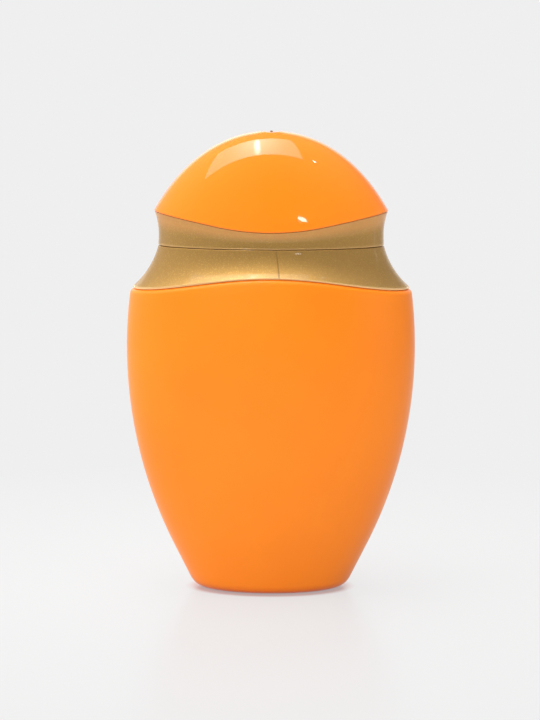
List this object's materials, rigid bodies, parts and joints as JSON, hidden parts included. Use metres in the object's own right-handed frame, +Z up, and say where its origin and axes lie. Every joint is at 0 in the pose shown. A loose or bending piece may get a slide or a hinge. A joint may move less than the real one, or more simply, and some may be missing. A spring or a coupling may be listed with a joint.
{
  "type": "sunscreen bottle",
  "caption": "Flat oval lotion bottle with a flared gold collar and a domed oval screw cap, wavy colour breaks and an orifice plug in its round neck.",
  "frame": {"origin": "on the floor under the middle of the bottle, on the neck's axis", "axes": "+Z up along the neck, +X along the width, -Y towards the viewer of the picture"},
  "size_m": [0.069, 0.037, 0.1101],
  "materials": {
    "bottle_orange": "satin-gloss orange blow-moulded plastic",
    "dome_orange": "polished orange injection-moulded plastic",
    "gold_paint": "champagne gold metallic paint with fine flakes on plastic",
    "white_plastic": "plain white moulded plastic",
    "natural_plastic": "natural milky soft plastic",
    "foam": "fine-celled white foam sheet"
  },
  "bodies": {
    "bottle": {"bottle": "bottle_orange", "shoulder_collar": "gold_paint", "nozzle_plug": "natural_plastic"},
    "liner": {"cap_liner": "foam"},
    "cap": {"inner_cap": "white_plastic", "cap_band": "gold_paint", "cap_dome": "dome_orange"}
  },
  "joints": [
    {"name": "cap_rise", "type": "slide", "parent": "bottle", "child": "liner", "axis": [0, 0, 1], "range_m": [0, 0.0041]},
    {"name": "cap_turn", "type": "hinge", "parent": "liner", "child": "cap", "pos_m": [0, 0, 0.09], "axis": [0, 0, 1], "range_deg": [0, 450]}
  ],
  "couplings": [
    {"joint": "cap_rise", "follows": "cap_turn", "m_per_rad": 0.0005093}
  ]
}
